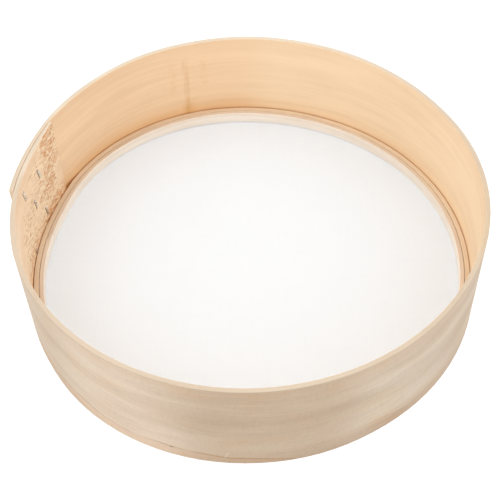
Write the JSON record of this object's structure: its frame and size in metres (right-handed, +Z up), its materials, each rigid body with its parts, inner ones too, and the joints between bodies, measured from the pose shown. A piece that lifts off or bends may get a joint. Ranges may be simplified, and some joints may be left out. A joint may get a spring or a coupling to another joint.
{
  "type": "tamis drum sieve",
  "caption": "Wooden drum sieve with a bent-wood hoop closed by a stapled lap joint and a fine white mesh cloth gripped between two rings at the foot.",
  "frame": {"origin": "on the axis of the drum, in the plane that its foot rests on", "axes": "+Z up along the axis of the drum, +X to the right and +Y to the back of the picture, with the lap joint towards -X"},
  "size_m": [0.3, 0.3, 0.077],
  "materials": {
    "hoop_wood": "bare planed bent wood, pale and satin, with fine grain round the hoop",
    "ring_wood": "bare sawn bent wood, a little darker than the hoop",
    "mesh": "very fine white woven mesh, stretched flat",
    "staple_wire": "fine galvanised wire"
  },
  "bodies": {
    "root": {"main_hoop": "hoop_wood", "outer_ring": "ring_wood", "inner_ring": "ring_wood", "mesh_cloth": "mesh", "cloth_edge": "mesh", "lap_staple_1": "staple_wire", "lap_staple_2": "staple_wire", "lap_staple_3": "staple_wire", "lap_staple_4": "staple_wire", "lap_staple_5": "staple_wire"}
  },
  "joints": []
}
